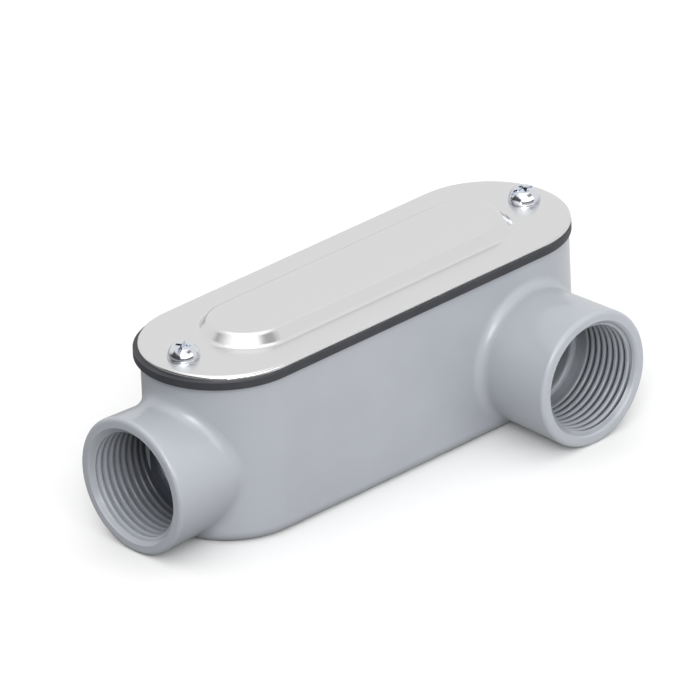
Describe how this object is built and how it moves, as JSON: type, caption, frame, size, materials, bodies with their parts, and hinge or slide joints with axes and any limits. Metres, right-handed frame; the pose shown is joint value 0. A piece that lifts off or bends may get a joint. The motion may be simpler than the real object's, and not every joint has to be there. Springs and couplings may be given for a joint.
{
  "type": "conduit body",
  "caption": "Elbow conduit body: round-ended cast box with threaded hubs at one end and on one side, rubber gasket, and a stamped cover held by pan-head screws.",
  "frame": {"origin": "centre of the flat back face, under the middle of the round-ended box", "axes": "+Z from the back face to the cover; X along the box, -X out of the end hub; -Y out of the side hub, which is near the +X end"},
  "size_m": [0.1608, 0.0728, 0.0551],
  "materials": {
    "casting": "satin",
    "gasket": "matte",
    "cover": "gloss",
    "screws": "polished"
  },
  "bodies": {
    "root": {"body_casting": "casting", "cover_gasket": "gasket", "cover_plate": "cover", "cover_screw_near": "screws", "cover_screw_far": "screws"}
  },
  "joints": []
}
